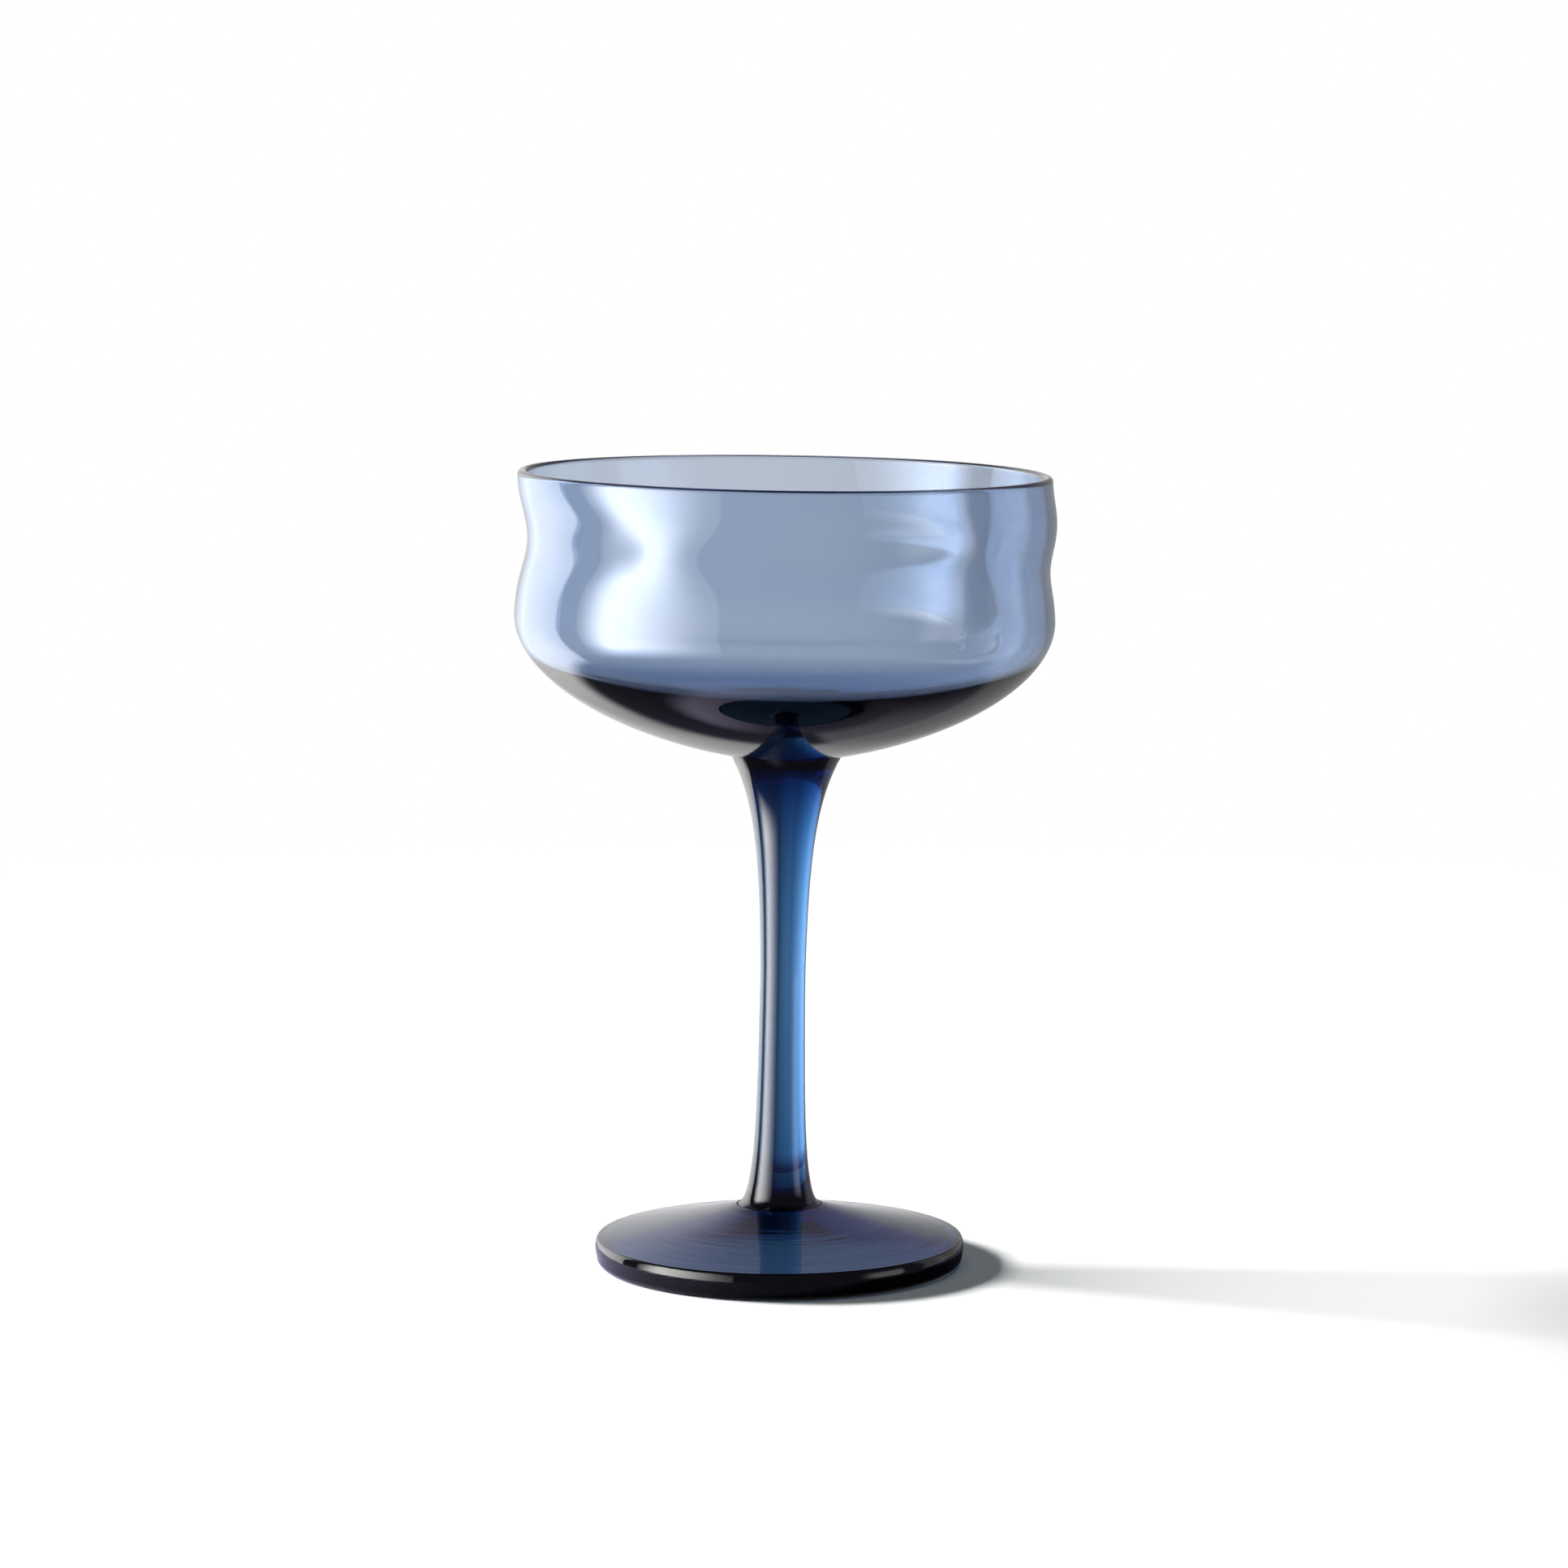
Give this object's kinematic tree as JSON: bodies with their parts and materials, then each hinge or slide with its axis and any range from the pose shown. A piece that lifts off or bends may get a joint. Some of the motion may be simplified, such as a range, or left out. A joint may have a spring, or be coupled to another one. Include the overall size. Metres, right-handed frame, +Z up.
{
  "type": "martini glass",
  "caption": "Stemmed coupe glass in solid-coloured blue glass: wide shallow bowl with soft pressed waves, flared slightly leaning stem and low domed round foot, all fused.",
  "frame": {"origin": "centre of the foot's underside, on the surface that the glass stands on", "axes": "+Z up from the foot through the stem to the bowl's rim; +X is the way that the stem and the bowl lean; +Y to the back"},
  "size_m": [0.1025, 0.1027, 0.1525],
  "materials": {
    "bowl_glass": "clear steel-blue glass, fire-polished",
    "stem_glass": "solid cobalt-blue glass, fire-polished",
    "foot_glass": "solid dark blue glass, fire-polished, faint tooling rings"
  },
  "bodies": {
    "root": {"bowl": "bowl_glass", "stem": "stem_glass", "foot": "foot_glass"}
  },
  "joints": []
}
